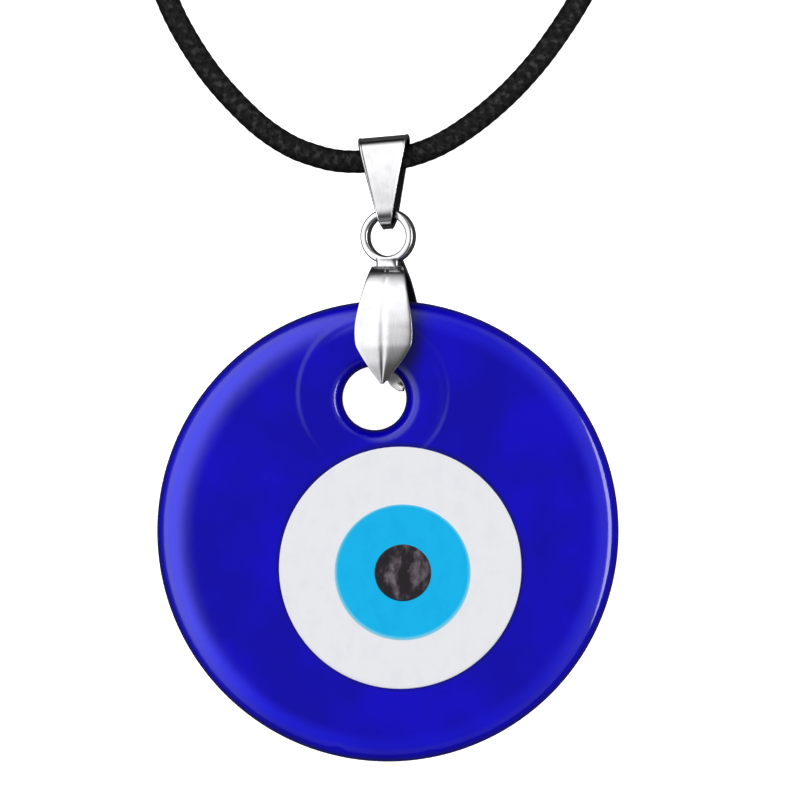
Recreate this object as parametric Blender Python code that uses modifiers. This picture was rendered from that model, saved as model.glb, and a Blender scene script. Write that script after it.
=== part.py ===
"""Evil eye pendant necklace, lying on its back on a surface.

Metres, +Z up, off the surface. X runs across the pendant and Y from its foot to its bail. The origin is on the
surface, under the middle of the pendant with its clip and bail. The pendant is a fused-glass disc held by a
pinch clip. The clip's ring hangs in a folded strap, and the strap rides on a braided cord. Past the pendant the
spare cord is coiled and tied, and its two ends carry a lobster clasp and an extender chain.
"""

import math

import bmesh
import bpy
from mathutils import Matrix, Vector

MM = 0.001

# glass pendant; the disc leans up onto the clip's back leaf
DISC_CENTRE = (0.0, -7.1)
DISC_RADIUS = 20.0
DISC_THICK = 4.0
DISC_LEAN = math.radians(1.07)
HOLE_CENTRE = (-1.16, 4.43)
HOLE_RADIUS = 2.75
EYE_LAYERS = (
    # name, centre, radius, top above the disc's face, depth of its pocket, colour
    ("white_glass", (1.07, -10.16), 10.5, 0.12, 0.9, (0.78, 0.80, 0.84)),
    ("iris_glass", (1.28, -10.54), 5.9, 0.17, 0.6, (0.03, 0.38, 0.75)),
    ("pupil_glass", (1.30, -10.58), 2.5, 0.22, 0.4, (0.02, 0.018, 0.025)),
)
LAYER_GAP = 0.05
PEG_AXIS = (0.02, 6.0)
PIVOT_HEIGHT = 0.612

# pinch clip
SHEET = 0.5
FRONT_YAW = math.radians(12)
RING_YAW = math.radians(16)
RING_CENTRE = (0.03, 18.4, 2.6)
RING_INNER = 1.67
RING_OUTER = 2.42
RING_DEPTH = 1.4

# each peg: where it stands, its foot and top, and its radius at both
FRONT_PEG = ((-0.45, 6.3, 0), 3.0, 5.3, 0.3, 0.45)
BACK_PEG = ((0.5, 5.85, 0), 0.3, 2.2, 0.45, 0.3)

# strap bail
STRAP_SHEET = 0.45
STRAP_TURN = math.radians(4.5)
STRAP_YAW = math.radians(9)
STRAP_NARROW = 0.5
STRAP_WIDE = 2.2
# the strap's middle line, along Y and up: from its back, through the ring and over the cord
STRAP_LINE = (
    (24.6, 0.24), (22.9, 0.24), (21.3, 0.24), (20.3, 0.3), (19.68, 0.72), (19.37, 1.4), (19.28, 2.2),
    (19.36, 3.0), (19.68, 3.72), (20.3, 4.1), (21.3, 4.08), (22.6, 3.99), (24.0, 3.82), (25.4, 3.54),
    (26.25, 3.22), (26.72, 2.7), (26.88, 1.95), (26.75, 1.1), (26.4, 0.46), (25.8, 0.25),
)

# cord: its route from the left side of the coil, through the bail, to the right side of the coil
CORD_RADIUS = 1.0
CORD_STEP = 3.2
CORD_GAP = 0.3
CORD_ROUTE = (
    (-17.05, 53.9, 1.5), (-18.9, 50.2, 1.2), (-20.1, 46.3, 1.04), (-20.2, 42.4, 1.03),
    (-19.09, 38.87, 1.03), (-17.3, 35.4, 1.03), (-14.9, 31.95, 1.03),
    (-11.6, 28.5, 1.06), (-8.8, 26.5, 1.2), (-6.4, 25.5, 1.4), (-3.97, 24.97, 1.6),
    (-0.68, 25.0, 1.68), (1.74, 25.4, 1.68), (4.17, 26.27, 1.6), (6.59, 27.7, 1.4),
    (9.0, 29.56, 1.2), (11.44, 31.9, 1.06), (13.86, 34.8, 1.03), (16.55, 38.87, 1.03),
    (18.3, 42.6, 1.03), (18.6, 46.6, 1.1), (17.2, 50.4, 1.5), (14.45, 53.9, 2.4),
)
COIL_CENTRE = (-1.3, 56.0)
COIL_INNER = 10.0
COIL_OUTER = 14.3
COIL_BOTTOM = 0.5
COIL_TOP = 4.7
# the left end of the cord, measured from the coil's centre: over the coil and down to the cap. The right end
# is its mirror image
LEFT_END = (
    (-6.6, 5.0, 6.05), (-6.2, 9.5, 6.1), (-6.5, 13.5, 5.7), (-7.1, 17.0, 4.1),
    (-7.8, 20.3, 2.4), (-8.6, 23.2, 1.8), (-9.3, 25.9, 1.78),
)
RIGHT_END = tuple((-x, y, z) for x, y, z in LEFT_END)
TIE_RADIUS = 0.19
TIE_GAP = 0.16

# findings
CAP_RADIUS = 1.55
CAP_LENGTH = 5.5
CAP_BORE = 1.1
CAP_BORE_DEPTH = 3.0
EYE_RADIUS = 1.15
EYE_WIRE = 0.38
JUMP_RADIUS = 1.95
JUMP_WIRE = 0.4
LINK_LENGTH = 6.4
LINK_WIDTH = 4.6
LINK_WIRE = 0.45
LINK_SLACK = 0.3
LINK_TURNS = (-23, -23, -23, -23, -23, -23, -23, -8, 0, 0, 0)
ROLL = math.radians(45)
DROP_RADIUS = 1.7
# the clasp's pin in the clasp's own drawing, whose Y runs along it from its eye
CLASP_PIN = (1.1, 3.2, 0)

SILVER = (0.72, 0.72, 0.74)


def clear_scene():
    for item in list(bpy.data.objects):
        bpy.data.objects.remove(item)


def collection(name):
    made = bpy.data.collections.new(name)
    bpy.context.scene.collection.children.link(made)
    return made


def material(name, colour, roughness, metallic):
    made = bpy.data.materials.new(name)
    made.use_nodes = True
    shader = made.node_tree.nodes["Principled BSDF"]
    shader.inputs["Base Color"].default_value = (*colour, 1.0)
    shader.inputs["Roughness"].default_value = roughness
    shader.inputs["Metallic"].default_value = metallic
    return made


def mm(point):
    return Vector(point) * MM


def add_object(name, data, group, paint=None):
    item = bpy.data.objects.new(name, data)
    group.objects.link(item)
    if paint:
        data.materials.append(paint)
    return item


def as_cutter(item):
    item.hide_render = True
    item.display_type = "WIRE"
    return item


def mesh_object(name, shape, group, paint=None):
    data = bpy.data.meshes.new(name)
    bmesh.ops.recalc_face_normals(shape, faces=shape.faces)
    if shape.calc_volume(signed=True) < 0:
        bmesh.ops.reverse_faces(shape, faces=shape.faces)
    shape.to_mesh(data)
    shape.free()
    data.shade_smooth()
    data.set_sharp_from_angle(angle=math.radians(35))
    return add_object(name, data, group, paint)


def turned(name, profile, steps, group, paint=None):
    """A profile of (radius, height) in mm, from the top of its outer side to the foot, turned round Z."""
    data = bpy.data.meshes.new(name)
    points = [(radius * MM, 0.0, height * MM) for radius, height in profile]
    data.from_pydata(points, [(i, i + 1) for i in range(len(points) - 1)], [])
    item = add_object(name, data, group, paint)
    screw = item.modifiers.new("turn", "SCREW")
    screw.steps = steps
    screw.render_steps = steps
    screw.use_merge_vertices = True
    screw.merge_threshold = 0.000001
    screw.use_smooth_shade = True
    return item


def closed_turned(name, profile, steps, group, paint=None):
    """As turned, for a ring-shaped profile that closes on itself."""
    item = turned(name, [*profile, profile[0]], steps, group, paint)
    weld = item.modifiers.new("close", "WELD")
    weld.merge_threshold = 0.000001
    return item


def cylinder(name, radius, bottom, top, sides, group, paint=None, top_radius=None):
    shape = bmesh.new()
    bmesh.ops.create_cone(
        shape, cap_ends=True, segments=sides, radius1=radius * MM,
        radius2=(radius if top_radius is None else top_radius) * MM, depth=(top - bottom) * MM,
    )
    bmesh.ops.translate(shape, verts=shape.verts, vec=(0, 0, (top + bottom) / 2 * MM))
    return mesh_object(name, shape, group, paint)


def tube(name, points, radius, group, paint=None, cyclic=False):
    curve = bpy.data.curves.new(name, "CURVE")
    curve.dimensions = "3D"
    curve.bevel_depth = radius * MM
    curve.bevel_resolution = 2
    curve.use_fill_caps = True
    spline = curve.splines.new("POLY")
    spline.points.add(len(points) - 1)
    for knot, point in zip(spline.points, points):
        knot.co = (*mm(point), 1.0)
    spline.use_cyclic_u = cyclic
    return add_object(name, curve, group, paint)


def tube_mesh(name, points, radius, group, paint=None, cyclic=False):
    """The same tube as a welded mesh, so that it can be cut and joined."""
    guide = tube(name + "_guide", points, radius, group, None, cyclic)
    bpy.context.view_layer.update()
    evaluated = guide.evaluated_get(bpy.context.evaluated_depsgraph_get())
    data = bpy.data.meshes.new_from_object(evaluated)
    bpy.data.objects.remove(guide)
    shape = bmesh.new()
    shape.from_mesh(data)
    bmesh.ops.remove_doubles(shape, verts=shape.verts, dist=0.0000005)
    bpy.data.meshes.remove(data)
    return mesh_object(name, shape, group, paint)


def smooth_route(knots, step):
    """Points about one step apart on a Catmull-Rom curve through the knots."""
    knots = [Vector(knot) for knot in knots]
    ends = [2 * knots[0] - knots[1], *knots, 2 * knots[-1] - knots[-2]]
    points = []
    for before, start, end, after in zip(ends, ends[1:], ends[2:], ends[3:]):
        count = max(1, round((end - start).length / step))
        for i in range(count):
            t = i / count
            points.append(0.5 * (
                2 * start + (end - before) * t
                + (2 * before - 5 * start + 4 * end - after) * t * t
                + (3 * start - before - 3 * end + after) * t**3
            ))
    return [*points, knots[-1]]


def loft(name, rings, group, paint=None, cyclic=False):
    """A skin over rings of points (mm), each with the same count, closed at its ends or joined end to end."""
    shape = bmesh.new()
    rows = [[shape.verts.new(mm(point)) for point in ring] for ring in rings]
    pairs = list(zip(rows, rows[1:]))
    if cyclic:
        pairs.append((rows[-1], rows[0]))
    for low, high in pairs:
        for i in range(len(low)):
            j = (i + 1) % len(low)
            shape.faces.new((low[i], low[j], high[j], high[i]))
    if not cyclic:
        shape.faces.new(rows[0][::-1])
        shape.faces.new(rows[-1])
    return mesh_object(name, shape, group, paint)


def change(item, kind, other):
    step = item.modifiers.new(f"{kind.lower()} {other.name}", "BOOLEAN")
    step.operation = kind
    step.object = other


def hang(item, parent):
    """Parents item without moving it: its place is already given in the world."""
    bpy.context.view_layer.update()
    item.parent = parent
    item.matrix_parent_inverse = parent.matrix_world.inverted()


def empty(name, location, group, rotation=(0, 0, 0)):
    item = add_object(name, None, group)
    item.empty_display_size = 0.003
    item.location = mm(location)
    item.rotation_euler = rotation
    bpy.context.view_layer.update()
    return item


def leaning(centre):
    """Where a point of the flat drawing (mm) lies on the leaning disc's back, as a world matrix."""
    pivot = Matrix.Translation(mm((*PEG_AXIS, PIVOT_HEIGHT))) @ Matrix.Rotation(DISC_LEAN, 4, "X")
    away = mm((centre[0] - PEG_AXIS[0], centre[1] - PEG_AXIS[1], 0))
    return pivot @ Matrix.Translation(away)


# ---------------------------------------------------------------- glass


def make_glass(group, cutters):
    cobalt = material("cobalt_glass", (0.012, 0.006, 0.42), 0.08, 0.0)
    edge = 1.9
    profile = [(0.0, DISC_THICK), (8.0, DISC_THICK), (DISC_RADIUS - edge, DISC_THICK - 0.05)]
    for i in range(1, 7):
        angle = math.pi * i / 6 - math.pi * 0.02
        profile.append((
            DISC_RADIUS - edge + edge * math.sin(angle),
            DISC_THICK / 2 + (DISC_THICK / 2 - 0.05) * math.cos(angle),
        ))
    profile += [(DISC_RADIUS - edge, 0.0), (6.0, 0.0), (0.0, 0.0)]
    disc = turned("glass_disc", profile, 80, group, cobalt)
    disc.matrix_world = leaning(DISC_CENTRE)
    drill = as_cutter(cylinder("hole_cutter", HOLE_RADIUS, -2, DISC_THICK + 2, 40, cutters))
    drill.matrix_world = leaning(HOLE_CENTRE)
    change(disc, "DIFFERENCE", drill)
    under = disc
    pieces = [disc]
    for name, centre, radius, rise, depth, colour in EYE_LAYERS:
        floor = DISC_THICK - depth
        pocket = as_cutter(cylinder(name + "_pocket", radius, floor, DISC_THICK + 1, 64, cutters))
        pocket.matrix_world = leaning(centre)
        change(under, "DIFFERENCE", pocket)
        top = DISC_THICK + rise
        rim = radius - LAYER_GAP
        outline = [(0.0, top), (rim - 0.5, top - 0.02), (rim - 0.15, top - 0.08), (rim, top - 0.2)]
        outline += [(rim, floor + LAYER_GAP), (0.0, floor + LAYER_GAP)]
        layer = turned(name, outline, 56, group, material(name, colour, 0.1, 0.0))
        layer.matrix_world = leaning(centre)
        pieces.append(layer)
        under = layer
    pivot = empty("glass_pivot", (*PEG_AXIS, PIVOT_HEIGHT), group, (DISC_LEAN, 0, 0))
    for piece in pieces:
        hang(piece, pivot)


# ---------------------------------------------------------------- pinch clip


def leaf_ring(x, y, top, half_width, yaw, slope, ridge):
    """A leaf's section at (x, y): a sheet with a low ridge, rolled by yaw, whose upper edges are at height top."""
    across = Vector((math.cos(yaw), 0, math.sin(yaw)))
    up = Vector((-math.sin(yaw), -math.sin(slope), math.cos(yaw) * math.cos(slope))).normalized()
    middle = Vector((x, y, top))
    outline = (
        (-1.0, -0.12), (-0.93, 0.02), (-0.5, 0.5 * ridge), (0.0, ridge), (0.5, 0.5 * ridge), (0.93, 0.02),
        (1.0, -0.12), (1.0, -SHEET + 0.1), (0.93, -SHEET), (0.5, 0.5 * ridge - SHEET), (0.0, ridge - SHEET),
        (-0.5, 0.5 * ridge - SHEET), (-0.93, -SHEET), (-1.0, -SHEET + 0.1),
    )
    return [middle + across * (u * half_width) + up * v for u, v in outline]


def leaf(name, stations, group, paint=None):
    """stations run from the tip to the collar: x, y, height of the upper edges, half width, yaw, ridge."""
    rings = []
    for i, (x, y, top, half_width, yaw, ridge) in enumerate(stations):
        before = stations[max(i - 1, 0)]
        after = stations[min(i + 1, len(stations) - 1)]
        slope = math.atan2(after[2] - before[2], after[1] - before[1])
        rings.append(leaf_ring(x, y, top, half_width, yaw, slope, ridge))
    return loft(name, rings, group, paint)


def make_clip(group, cutters):
    chrome = material("clip_metal", SILVER, 0.16, 1.0)
    yaw = FRONT_YAW
    front = (
        (-0.48, 5.64, 5.15, 0.16, yaw, 0.06), (-0.46, 6.3, 5.33, 0.7, yaw, 0.12),
        (-0.43, 7.4, 5.6, 1.55, yaw, 0.2), (-0.41, 8.65, 5.8, 2.32, yaw, 0.24),
        (-0.41, 9.3, 5.84, 2.5, yaw, 0.25), (-0.41, 10.2, 5.84, 2.54, yaw, 0.25),
        (-0.4, 11.2, 5.8, 2.46, yaw, 0.24), (-0.35, 12.6, 5.55, 2.2, yaw, 0.22),
        (-0.26, 14.0, 4.95, 1.9, yaw, 0.18), (-0.14, 15.1, 4.2, 1.64, yaw, 0.12),
        (-0.03, 16.0, 3.6, 1.38, yaw, 0.06), (0.03, 16.5, 3.3, 1.22, yaw, 0.0),
    )
    back = (
        (1.18, 5.1, 0.51, 0.18, 0, 0.0), (1.12, 6.1, 0.51, 0.95, 0, 0.0), (1.08, 7.4, 0.51, 1.75, 0, 0.0),
        (1.02, 8.4, 0.51, 2.28, 0, 0.0), (0.98, 9.0, 0.51, 2.40, 0, 0.0), (0.85, 11.0, 0.51, 2.18, 0, 0.0),
        (0.66, 12.6, 0.53, 1.92, 0, 0.0), (0.48, 14.0, 0.85, 1.68, yaw / 2, 0.0),
        (0.32, 15.1, 1.45, 1.42, yaw, 0.0), (0.2, 16.0, 2.0, 1.15, yaw, 0.0), (0.14, 16.5, 2.3, 1.05, yaw, 0.0),
    )
    clip = leaf("pinch_clip", front, group, chrome)
    lower = as_cutter(leaf("back_leaf", back, cutters))
    middle_y = RING_CENTRE[1] - RING_OUTER
    collar = bmesh.new()
    bmesh.ops.create_cube(collar, size=1.0)
    bmesh.ops.scale(collar, verts=collar.verts, vec=mm((2.1, 0.95, 1.7)))
    bmesh.ops.bevel(
        collar, geom=collar.edges[:], offset=0.2 * MM, segments=2, affect="EDGES", profile=0.5,
    )
    block = as_cutter(mesh_object("collar", collar, cutters))
    block.location = mm((RING_CENTRE[0] + 0.04, middle_y + 0.06, RING_CENTRE[2]))
    block.rotation_euler = (0, -RING_YAW, 0)
    half, soft = RING_DEPTH / 2, 0.2
    band = closed_turned(
        "ring_band",
        [
            (RING_OUTER - soft, half), (RING_OUTER - 0.05, half - 0.08), (RING_OUTER, half - soft),
            (RING_OUTER, soft - half), (RING_OUTER - 0.05, 0.08 - half), (RING_OUTER - soft, -half),
            (RING_INNER + soft, -half), (RING_INNER, soft - half), (RING_INNER, half - soft),
            (RING_INNER + soft, half),
        ],
        36, cutters,
    )
    as_cutter(band)
    band.location = mm(RING_CENTRE)
    band.rotation_euler = (0, -RING_YAW, 0)
    pegs = []
    for name, (spot, foot, top, foot_radius, top_radius) in (("front_peg", FRONT_PEG), ("back_peg", BACK_PEG)):
        peg = as_cutter(cylinder(name, foot_radius, foot, top, 12, cutters, top_radius=top_radius))
        peg.location = mm(spot)
        pegs.append(peg)
    for piece in (block, lower, band, *pegs):
        change(clip, "UNION", piece)
    pivot = empty("clip_pivot", RING_CENTRE, group, (0, -RING_YAW, 0))
    hang(clip, pivot)


# ---------------------------------------------------------------- strap bail


def make_strap(group):
    chrome = material("bail_metal", SILVER, 0.2, 1.0)
    turn = Matrix.Rotation(STRAP_TURN, 3, "Z")
    across = turn @ Vector((math.cos(STRAP_YAW), 0, math.sin(STRAP_YAW)))
    half = STRAP_SHEET / 2
    rings = []
    for i, (y, z) in enumerate(STRAP_LINE):
        before, after = STRAP_LINE[i - 1], STRAP_LINE[(i + 1) % len(STRAP_LINE)]
        along = Vector((0, after[0] - before[0], after[1] - before[1])).normalized()
        outward = Vector((0, -along.z, along.y))
        share = min(1.0, max(0.0, (y - 19.3) / (26.88 - 19.3)))
        half_width = STRAP_NARROW + (STRAP_WIDE - STRAP_NARROW) * share
        lean_back = (1 - z / 4.1) * 0.55 - 0.05
        middle = Vector((-0.2 - 0.4 * share + lean_back, y, z))
        outline = (
            (-1.0, -0.6), (-1.0, 0.6), (-0.92, 1.0), (0.92, 1.0), (1.0, 0.6), (1.0, -0.6), (0.92, -1.0),
            (-0.92, -1.0),
        )
        flat = 1.0 if z > 1.2 else max(0.0, (z - 0.24) / 0.96)
        width_way = Vector((across.x, across.y, across.z * flat))
        rings.append([
            middle + width_way * (u * half_width) + outward * (v * half) for u, v in outline
        ])
    strap = loft("strap_bail", rings, group, chrome, cyclic=True)
    pivot = empty("strap_pivot", (-0.68, 25.0, 1.68), group, (0, 0, STRAP_TURN))
    hang(strap, pivot)


# ---------------------------------------------------------------- cord


def rounded_square(count, square, across, lift):
    """Points from the top of an outline between an ellipse and a rectangle, clockwise as seen from -X."""
    points = []
    for i in range(count):
        angle = math.pi / 2 - 2 * math.pi * i / count
        u, v = round(math.cos(angle), 9), round(math.sin(angle), 9)
        points.append((
            across * math.copysign(abs(u) ** square, u), lift * math.copysign(abs(v) ** square, v),
        ))
    return points


def make_cord(group):
    black = material("cord_braid", (0.012, 0.012, 0.014), 0.6, 0.0)
    tube("neck_cord", smooth_route(CORD_ROUTE, CORD_STEP), CORD_RADIUS, group, black)
    middle = (COIL_TOP + COIL_BOTTOM) / 2
    half = (COIL_TOP - COIL_BOTTOM) / 2
    across = (COIL_OUTER - COIL_INNER) / 2
    width = (COIL_OUTER + COIL_INNER) / 2
    profile = [(width + u, middle + v) for u, v in rounded_square(12, 0.6, across, half)]
    coil = closed_turned("cord_coil", profile, 44, group, black)
    coil.location = mm((*COIL_CENTRE, 0))
    offset = Vector((*COIL_CENTRE, 0))
    for name, knots in (("cord_end_left", LEFT_END), ("cord_end_right", RIGHT_END)):
        knots = [offset + Vector(knot) for knot in knots]
        tube(name, smooth_route(knots, CORD_STEP), CORD_RADIUS, group, black)
    paper = material("tie_wire", (0.05, 0.05, 0.055), 0.45, 0.0)
    reach = TIE_RADIUS + TIE_GAP
    points = [
        (COIL_CENTRE[0], COIL_CENTRE[1] - width + u, middle + v)
        for u, v in rounded_square(24, 0.5, across + reach, half + reach - 0.08)
    ]
    tube("coil_tie", points, TIE_RADIUS, group, paper, cyclic=True)


# ---------------------------------------------------------------- findings


def place(item, centre, heading, roll):
    """Lies along heading (an angle from +X) and rolled about its own length; its length is local X."""
    item.matrix_world = (
        Matrix.Translation(mm(centre)) @ Matrix.Rotation(heading, 4, "Z") @ Matrix.Rotation(roll, 4, "X")
    )


def circle_points(radius, count):
    """A circle round the origin in the plane XY."""
    turns = [2 * math.pi * i / count for i in range(count)]
    return [(radius * math.cos(turn), radius * math.sin(turn), 0) for turn in turns]


def oval_points(length, width, wire, count):
    """The middle line of an oval link in its own plane, local XY."""
    straight = (length - width) / 2
    radius = width / 2 - wire
    points = []
    for i in range(count):
        angle = 2 * math.pi * (i + 0.5) / count
        side = math.copysign(straight, math.cos(angle))
        points.append((side + radius * math.cos(angle), radius * math.sin(angle), 0))
    return points


def make_cap(name, knots, group, cutters, silver):
    """A cup over the cord's end with an eye on its closed end; returns the eye's centre and the heading."""
    end = Vector((*COIL_CENTRE, 0)) + Vector(knots[-1])
    away = Vector(knots[-1]) - Vector(knots[-2])
    heading = math.atan2(away.y, away.x)
    forward = Vector((math.cos(heading), math.sin(heading), 0))
    outline = [
        # up the bore, round the mouth and down the outer side to the closed end
        (0.0, CAP_LENGTH - CAP_BORE_DEPTH), (CAP_BORE, CAP_LENGTH - CAP_BORE_DEPTH), (CAP_BORE, CAP_LENGTH),
        (CAP_RADIUS - 0.1, CAP_LENGTH), (CAP_RADIUS, CAP_LENGTH - 0.1), (CAP_RADIUS, 0.9),
        (CAP_RADIUS * 0.75, 0.25), (0.6, 0.0), (0.0, 0.0),
    ]
    shape = turned(name, outline, 20, group, silver)
    mouth = end - forward * (CAP_BORE_DEPTH - CORD_GAP)
    closed_end = mouth + forward * CAP_LENGTH
    shape.matrix_world = (
        Matrix.Translation(mm(closed_end)) @ Matrix.Rotation(heading, 4, "Z")
        @ Matrix.Rotation(math.radians(-90), 4, "Y")
    )
    eye = closed_end + forward * (EYE_RADIUS - 0.12)
    loop = as_cutter(tube_mesh(name + "_eye", circle_points(EYE_RADIUS, 16), EYE_WIRE, cutters, cyclic=True))
    place(loop, eye, heading, ROLL)
    change(shape, "UNION", loop)
    return eye, heading


def make_ring(name, eye, heading, roll, group, silver):
    """A jump ring whose near side runs through the eye; returns the middle of its far side."""
    forward = Vector((math.cos(heading), math.sin(heading), 0))
    hole_side = EYE_RADIUS - EYE_WIRE - JUMP_WIRE - 0.12
    centre = eye + forward * (JUMP_RADIUS + hole_side)
    ring = tube(name, circle_points(JUMP_RADIUS, 18), JUMP_WIRE, group, silver, cyclic=True)
    place(ring, centre, heading, roll)
    return centre + forward * JUMP_RADIUS


def make_chain(start, heading, group, cutters, silver):
    """Links from the ring's far side onwards, each rolled a quarter turn from the one before."""
    pitch = LINK_LENGTH - 4 * LINK_WIRE - LINK_SLACK
    reach = LINK_LENGTH / 2 - LINK_WIRE
    forward = Vector((math.cos(heading), math.sin(heading), 0))
    centre = start + forward * (reach - LINK_WIRE - JUMP_WIRE - LINK_SLACK)
    roll = ROLL
    for number, turn in enumerate(LINK_TURNS, 1):
        link = tube(
            f"link_{number:02d}", oval_points(LINK_LENGTH, LINK_WIDTH, LINK_WIRE, 16), LINK_WIRE, group,
            silver, cyclic=True,
        )
        place(link, centre, heading, roll)
        roll = -roll
        before = Vector((math.cos(heading), math.sin(heading), 0))
        heading += math.radians(turn)
        after = Vector((math.cos(heading), math.sin(heading), 0))
        centre = centre + (before + after) * (pitch / 2)
    after = Vector((math.cos(heading), math.sin(heading), 0))
    eye = centre - after * (reach - EYE_RADIUS)
    bead = mesh_ball("chain_drop", DROP_RADIUS, group, silver)
    bead.location = mm(eye + after * (EYE_RADIUS + DROP_RADIUS - 0.25))
    loop = as_cutter(tube_mesh("drop_eye", circle_points(EYE_RADIUS, 16), EYE_WIRE, cutters, cyclic=True))
    place(loop, eye, heading, roll)
    change(bead, "UNION", loop)


def mesh_ball(name, radius, group, paint):
    shape = bmesh.new()
    bmesh.ops.create_uvsphere(shape, u_segments=20, v_segments=12, radius=radius * MM)
    return mesh_object(name, shape, group, paint)


def make_clasp(start, heading, group, cutters, silver, steel):
    """A lobster clasp lying flat, drawn with Y along its length from its eye, then placed by one matrix."""
    forward = Vector((math.cos(heading), math.sin(heading), 0))
    eye = start + forward * (EYE_RADIUS - JUMP_WIRE - EYE_WIRE - 0.15)
    lies = Matrix.Translation(mm(eye)) @ Matrix.Rotation(heading - math.pi / 2, 4, "Z")
    hook = smooth_route(
        (
            (-0.6, 3.6, 0), (-1.55, 5.3, 0), (-1.8, 7.0, 0), (-1.25, 8.7, 0), (0.15, 9.55, 0),
            (1.5, 9.1, 0), (1.95, 7.8, 0),
        ),
        0.8,
    )
    body = tube_mesh("clasp_body", hook, 0.72, group, silver)
    block = as_cutter(cylinder("clasp_block", 1.75, -1.1, 1.1, 28, cutters))
    block.matrix_world = lies @ Matrix.Translation(mm((0.35, 2.9, 0)))
    loop = as_cutter(tube_mesh("clasp_eye", circle_points(EYE_RADIUS, 16), EYE_WIRE, cutters, cyclic=True))
    loop.matrix_world = lies
    slot = bmesh.new()
    bmesh.ops.create_cube(slot, size=1.0)
    bmesh.ops.scale(slot, verts=slot.verts, vec=mm((3.0, 4.4, 1.2)))
    slot = as_cutter(mesh_object("clasp_slot", slot, cutters))
    slot.matrix_world = lies @ Matrix.Translation(mm((1.85, 3.9, 0)))
    bore = as_cutter(cylinder("clasp_bore", 0.34, -2, 2, 16, cutters))
    bore.matrix_world = lies @ Matrix.Translation(mm(CLASP_PIN))
    body.matrix_world = lies
    change(body, "UNION", block)
    change(body, "UNION", loop)
    change(body, "DIFFERENCE", slot)
    change(body, "DIFFERENCE", bore)
    pin = cylinder("clasp_pin", 0.3, -1.1, 1.1, 12, group, steel)
    pin.matrix_world = lies @ Matrix.Translation(mm(CLASP_PIN))
    gate = smooth_route(((1.02, 2.95, 0), (1.75, 4.3, 0), (2.05, 5.7, 0), (2.0, 7.25, 0)), 0.8)
    lever = tube_mesh("clasp_lever", gate, 0.47, group, silver)
    lever.matrix_world = lies
    hub = as_cutter(cylinder("lever_hub", 0.62, -0.5, 0.5, 18, cutters))
    hub.matrix_world = lies @ Matrix.Translation(mm(CLASP_PIN))
    tab = as_cutter(cylinder("lever_tab", 0.52, -0.4, 0.4, 14, cutters))
    tab.matrix_world = lies @ Matrix.Translation(mm((2.45, 4.45, 0)))
    eyelet = as_cutter(cylinder("lever_bore", 0.36, -2, 2, 16, cutters))
    eyelet.matrix_world = lies @ Matrix.Translation(mm(CLASP_PIN))
    change(lever, "UNION", hub)
    change(lever, "UNION", tab)
    change(lever, "DIFFERENCE", eyelet)
    coil = [
        (0.8 + 0.28 * math.cos(2 * math.pi * i / 8), 1.86 + 0.62 * i / 20, 0.28 * math.sin(2 * math.pi * i / 8))
        for i in range(21)
    ]
    spring = tube("clasp_spring", coil, 0.08, group, steel)
    spring.matrix_world = lies
    pivot = empty("lever_pivot", lies @ Vector((0, 0, 0)) / MM, group)
    pivot.matrix_world = lies @ Matrix.Translation(mm(CLASP_PIN))
    hang(lever, pivot)


def make_findings(group, cutters):
    silver = material("silver_plate", SILVER, 0.18, 1.0)
    steel = material("spring_steel", (0.5, 0.5, 0.52), 0.3, 1.0)
    eye, heading = make_cap("cap_left", LEFT_END, group, cutters, silver)
    start = make_ring("ring_left", eye, heading, -ROLL, group, silver)
    make_clasp(start, heading, group, cutters, silver, steel)
    eye, heading = make_cap("cap_right", RIGHT_END, group, cutters, silver)
    start = make_ring("ring_right", eye, heading, -ROLL, group, silver)
    make_chain(start, heading, group, cutters, silver)


def main():
    clear_scene()
    parts = collection("evil_eye_necklace")
    cutters = collection("cutters")
    make_glass(parts, cutters)
    make_clip(parts, cutters)
    make_strap(parts)
    make_cord(parts)
    make_findings(parts, cutters)


main()
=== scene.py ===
"""Evil eye pendant necklace: the finished surfaces, materials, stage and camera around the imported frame.

Lengths in this file are in millimetres unless a name says otherwise, in the frame's own axes: X across the
pendant, Y from its foot to its bail, Z up off the surface that it lies on.
"""

import math

import bpy
import numpy as np
from bpy.props import FloatProperty, FloatVectorProperty, PointerProperty
from bpy.types import Operator, Panel, PropertyGroup
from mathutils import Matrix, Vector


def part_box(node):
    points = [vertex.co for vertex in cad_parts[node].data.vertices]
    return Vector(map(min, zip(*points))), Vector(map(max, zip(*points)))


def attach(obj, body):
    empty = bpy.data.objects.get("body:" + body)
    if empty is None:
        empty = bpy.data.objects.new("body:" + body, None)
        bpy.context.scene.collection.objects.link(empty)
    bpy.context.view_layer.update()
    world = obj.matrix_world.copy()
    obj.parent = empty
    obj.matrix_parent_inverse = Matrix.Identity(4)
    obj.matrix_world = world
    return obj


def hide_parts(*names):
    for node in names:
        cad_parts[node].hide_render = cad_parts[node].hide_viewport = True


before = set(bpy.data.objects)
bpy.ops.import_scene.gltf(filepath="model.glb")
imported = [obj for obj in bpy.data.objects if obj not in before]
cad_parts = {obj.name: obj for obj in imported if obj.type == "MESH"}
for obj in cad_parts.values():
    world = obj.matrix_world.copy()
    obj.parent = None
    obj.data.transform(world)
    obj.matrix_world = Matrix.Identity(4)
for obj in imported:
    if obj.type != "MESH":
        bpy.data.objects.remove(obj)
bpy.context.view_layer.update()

bl_info = {
    "name": "Evil Eye Pendant Necklace",
    "version": (1, 0, 0),
    "blender": (4, 5, 0),
    "location": "View3D > Sidebar > Necklace",
    "description": "Builds a fused-glass eye pendant, its clip, strap, braided cord, clasp and chain",
    "category": "Add Mesh",
}

MM = 0.001
TURN = 2 * np.pi

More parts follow.
